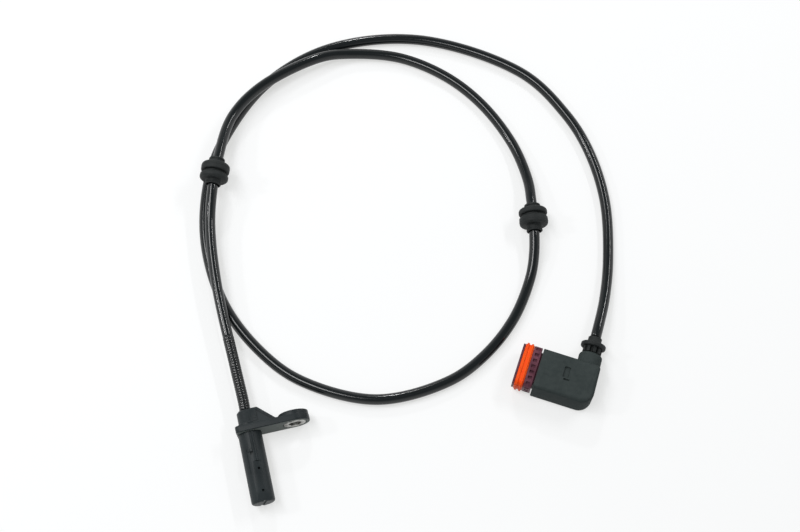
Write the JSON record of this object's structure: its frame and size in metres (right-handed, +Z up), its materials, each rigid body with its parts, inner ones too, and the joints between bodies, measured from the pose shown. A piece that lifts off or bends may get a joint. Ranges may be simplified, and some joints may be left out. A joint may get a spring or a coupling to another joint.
{
  "type": "wheel speed sensor",
  "caption": "Wheel speed sensor with a flanged probe head, a long round cable with rubber grommets and a right-angle sealed connector, lying in a loose loop.",
  "frame": {"origin": "On the resting surface, under the middle of the sensor head (the cable and connector left out).", "axes": "+Z up; the probe points along -Y and the cable leaves the head along +Y; the ear with the bolt bush points along +X."},
  "size_m": [0.2172, 0.2433, 0.0211],
  "materials": {
    "moulded_black": "satin moulded",
    "plug_black": "satin moulded, fine grain",
    "jacket_black": "smooth glossy jacket",
    "rubber_black": "matte rubber",
    "plum_plastic": "satin moulded",
    "orange_rubber": "silicone rubber",
    "bush_steel": "turned and plated",
    "tinned_copper": "bright tin",
    "insert_plastic": "moulded",
    "chip_resin": "moulded resin",
    "capacitor_ceramic": "fired ceramic",
    "core_brown": "extruded insulation",
    "core_blue": "extruded insulation"
  },
  "bodies": {
    "root": {"head_housing": "moulded_black", "flange_bush": "bush_steel", "sensor_carrier": "insert_plastic", "sensor_chip": "chip_resin", "filter_capacitor": "capacitor_ceramic", "lead_signal": "tinned_copper", "lead_supply": "tinned_copper", "crimp_signal": "tinned_copper", "crimp_supply": "tinned_copper", "head_core_signal": "core_brown", "head_core_supply": "core_blue", "cable": "jacket_black", "grommet_near_head": "rubber_black", "grommet_mid": "rubber_black", "connector_housing": "plug_black", "terminal_carrier": "plum_plastic", "face_seal": "orange_rubber", "terminal_signal": "tinned_copper", "terminal_supply": "tinned_copper", "plug_core_signal": "core_brown", "plug_core_supply": "core_blue", "outlet_seal": "rubber_black", "cable_gland": "rubber_black"}
  },
  "joints": []
}
